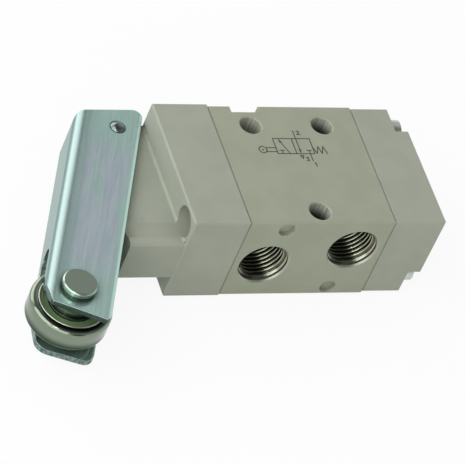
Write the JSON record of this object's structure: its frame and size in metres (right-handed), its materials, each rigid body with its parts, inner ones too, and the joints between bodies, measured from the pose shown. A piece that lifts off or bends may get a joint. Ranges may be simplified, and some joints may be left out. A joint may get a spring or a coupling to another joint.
{
  "type": "roller lever air valve",
  "caption": "Block-shaped air valve with threaded ports, a spring cap at one end and a sprung channel lever with a ball-bearing roller at the other.",
  "frame": {"origin": "centre of the block's back face, which lies on the surface that the valve is fixed to", "axes": "+X along the spool from the lever towards the spring cap, +Y from the face with two ports to the far face, +Z from the back face to the front face"},
  "size_m": [0.0853, 0.0521, 0.0206],
  "materials": {
    "block": "matte warm grey coat on cast metal",
    "cover": "matte warm grey coat on cast metal",
    "lever": "zinc plate with faint streaks along the lever",
    "axle": "zinc plate",
    "pin": "polished",
    "bearing": "polished bearing steel",
    "shield": "dark and dull",
    "screw": "bright plate",
    "bush": "turned",
    "cage": "turned",
    "spring": "drawn wire",
    "seal": "smooth black"
  },
  "bodies": {
    "housing": {"body_block": "block", "actuator_head": "cover", "end_cap": "cover", "head_screws": "screw", "cap_screws": "screw", "head_seal": "seal", "cap_seal": "seal", "spool_seal_1": "seal", "spool_seal_2": "seal", "spool_seal_3": "seal", "spool_seal_4": "seal", "flow_cage_1": "cage", "flow_cage_2": "cage", "flow_cage_3": "cage", "plunger_bush": "bush", "wiper_seal": "seal", "return_spring": "spring", "pivot_pin": "pin"},
    "sliding_spool": {"spool": "pin", "plunger": "pin"},
    "lever": {"lever_channel": "lever", "roller_axle": "axle", "axle_spacers": "axle", "bearing_inner_ring": "bearing"},
    "roller": {"bearing_outer_ring": "bearing", "bearing_shields": "shield", "bearing_balls": "bearing", "ball_cage": "cage"}
  },
  "joints": [
    {"name": "lever_press", "type": "hinge", "parent": "housing", "child": "lever", "pos_m": [-0.0326, 0.01326, 0.0097], "axis": [0, 0, 1], "range_deg": [0, 15], "stiffness_Nm_per_rad": 0.34, "springref_deg": -22.92},
    {"name": "spool_travel", "type": "slide", "parent": "housing", "child": "sliding_spool", "axis": [1, 0, 0], "range_m": [0, 0.0044], "deforming": ["return_spring"]},
    {"name": "roller_spin", "type": "hinge", "parent": "lever", "child": "roller", "pos_m": [-0.05161, -0.0265, 0.0097], "axis": [0, 0, 1], "continuous": true}
  ],
  "couplings": [
    {"joint": "spool_travel", "follows": "lever_press", "m_per_rad": 0.0165}
  ]
}
